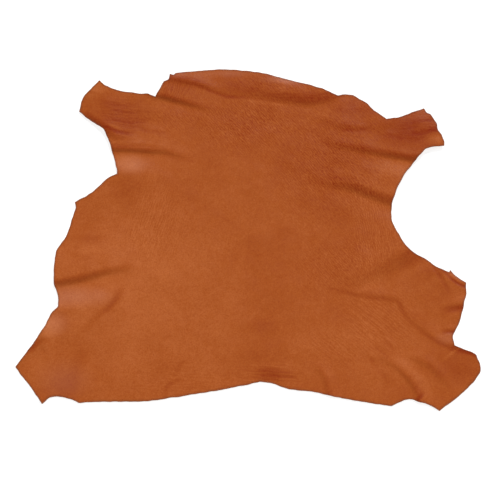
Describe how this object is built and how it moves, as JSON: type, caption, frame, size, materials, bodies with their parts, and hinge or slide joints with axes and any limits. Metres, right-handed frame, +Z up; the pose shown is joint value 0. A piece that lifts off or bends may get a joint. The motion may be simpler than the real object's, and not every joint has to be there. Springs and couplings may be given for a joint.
{
  "type": "leather hide",
  "caption": "Whole small tanned hide laid out grain side up: one thin sheet with neck, leg and tail outline, flat in the middle with folds at the edges.",
  "frame": {"origin": "centre of the bounding box on the floor the hide lies on", "axes": "+Z up, out of the grain side; +Y along the spine towards the neck; +X across, the longest side"},
  "size_m": [0.9992, 0.824, 0.0092],
  "materials": {
    "hide": "vegetable tanned, dyed tan, smooth grain with a soft sheen"
  },
  "bodies": {
    "root": {"hide": "hide"}
  },
  "joints": []
}
